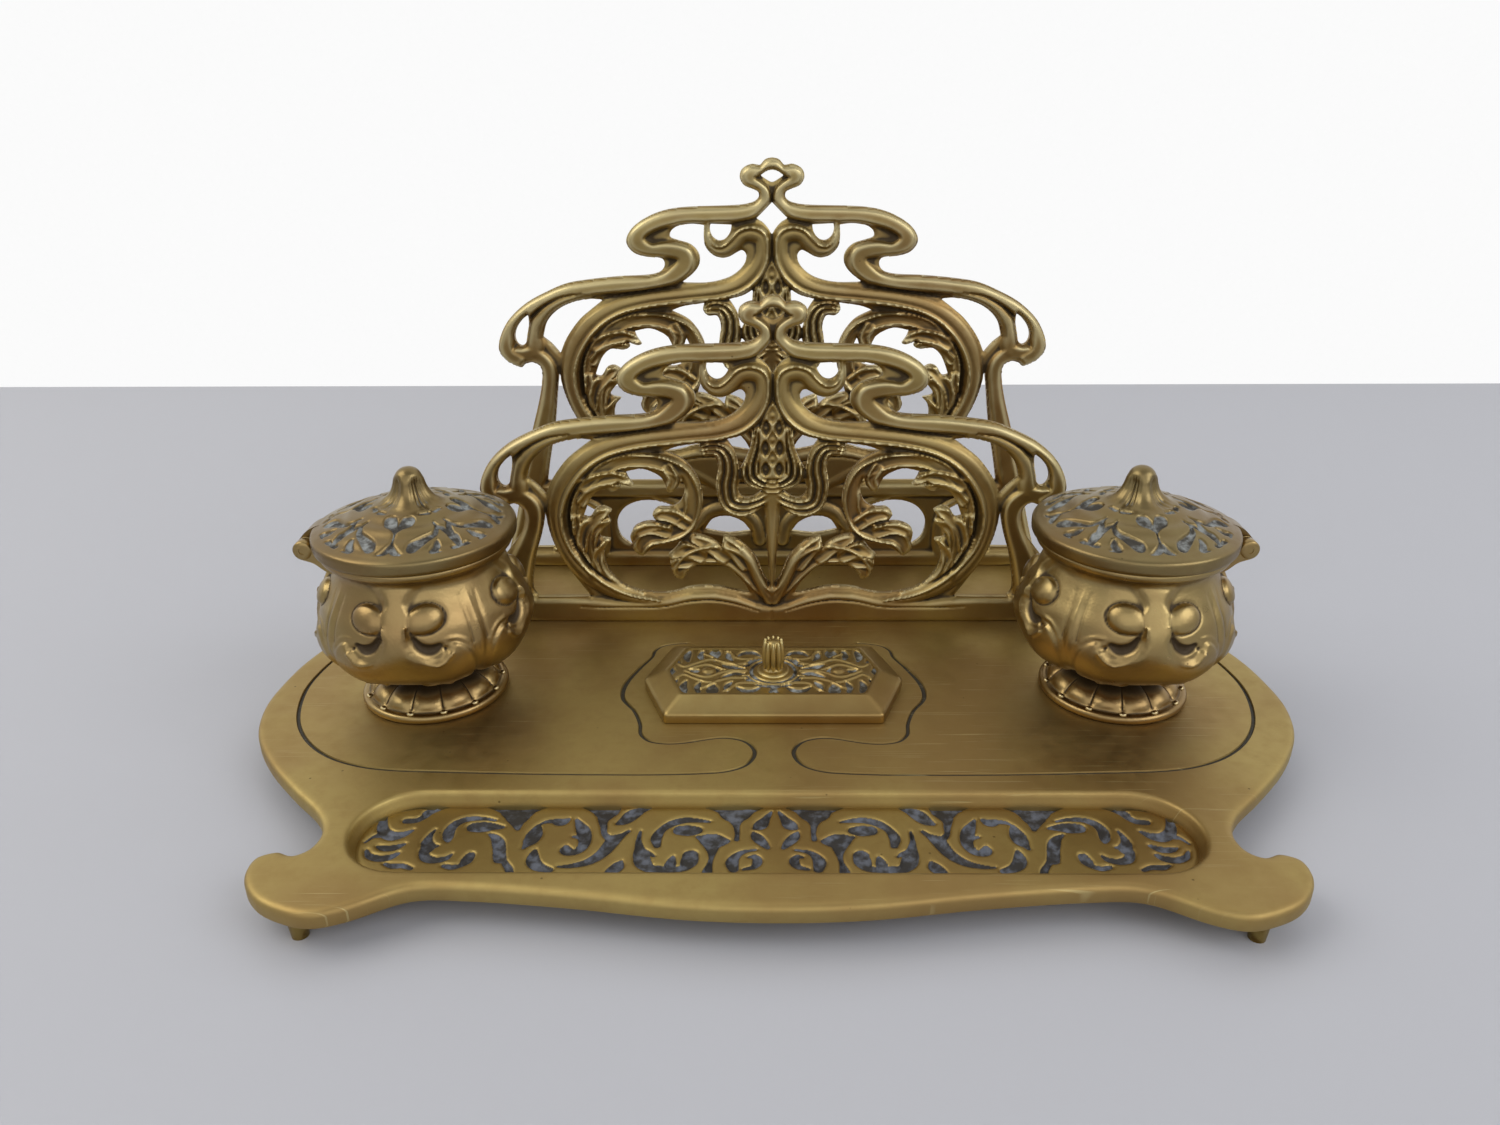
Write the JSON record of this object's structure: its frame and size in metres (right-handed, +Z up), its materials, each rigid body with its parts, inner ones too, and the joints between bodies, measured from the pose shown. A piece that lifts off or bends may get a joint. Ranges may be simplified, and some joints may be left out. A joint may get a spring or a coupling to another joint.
{
  "type": "desk inkstand",
  "caption": "Cast desk inkstand: footed tray with pen channel and lidded stamp box, hinged-lid ink pots with glass liners and a pierced scrollwork letter rack.",
  "frame": {"origin": "centre of the footprint's bounding box, on the table that the peg feet stand on", "axes": "+X to the stand's right as seen from its front, +Y to its back, +Z up"},
  "size_m": [0.2824, 0.189, 0.1463],
  "materials": {
    "tray_brass": "aged cast brass, worn satin with dull brown low spots and fine scratches",
    "rack_brass": "pierced cast brass, coppery brown casting skin with bright worn ribbon edges",
    "pot_brass": "aged cast brass, satin with dark lines in the relief",
    "lid_brass": "aged cast brass, worn bright on the raised scrolls and dark grey-blue in the sunk ground",
    "liner_glass": "clear pressed glass",
    "steel": "plain turned steel, dull"
  },
  "bodies": {
    "stand": {"tray": "tray_brass", "peg_front_left": "tray_brass", "peg_front_right": "tray_brass", "peg_rear_left": "tray_brass", "peg_rear_right": "tray_brass", "rack_front": "rack_brass", "rack_rear": "rack_brass", "rack_front_screws": "pot_brass", "rack_rear_screws": "pot_brass", "pedestal_left": "pot_brass", "pedestal_right": "pot_brass", "bowl_left": "pot_brass", "bowl_right": "pot_brass", "liner_left": "liner_glass", "liner_right": "liner_glass", "pot_bolt_left": "steel", "pot_bolt_right": "steel", "pot_washer_left": "steel", "pot_washer_right": "steel", "pot_nut_left": "steel", "pot_nut_right": "steel", "hinge_pin_left": "pot_brass", "hinge_pin_right": "pot_brass"},
    "pot_lid_left": {"lid_left": "lid_brass"},
    "pot_lid_right": {"lid_right": "lid_brass"},
    "stamp_box_lid": {"stamp_lid": "lid_brass", "stamp_knob": "pot_brass", "stamp_knob_nut": "pot_brass"}
  },
  "joints": [
    {"name": "left_lid_hinge", "type": "hinge", "parent": "stand", "child": "pot_lid_left", "pos_m": [-0.1238, -0.0024, 0.057], "axis": [0, -1, 0], "range_deg": [0, 105]},
    {"name": "right_lid_hinge", "type": "hinge", "parent": "stand", "child": "pot_lid_right", "pos_m": [0.1238, -0.0024, 0.057], "axis": [0, 1, 0], "range_deg": [0, 105]},
    {"name": "stamp_lid_lift", "type": "slide", "parent": "stand", "child": "stamp_box_lid", "axis": [0, 0, 1], "range_m": [0, 0.03]}
  ]
}
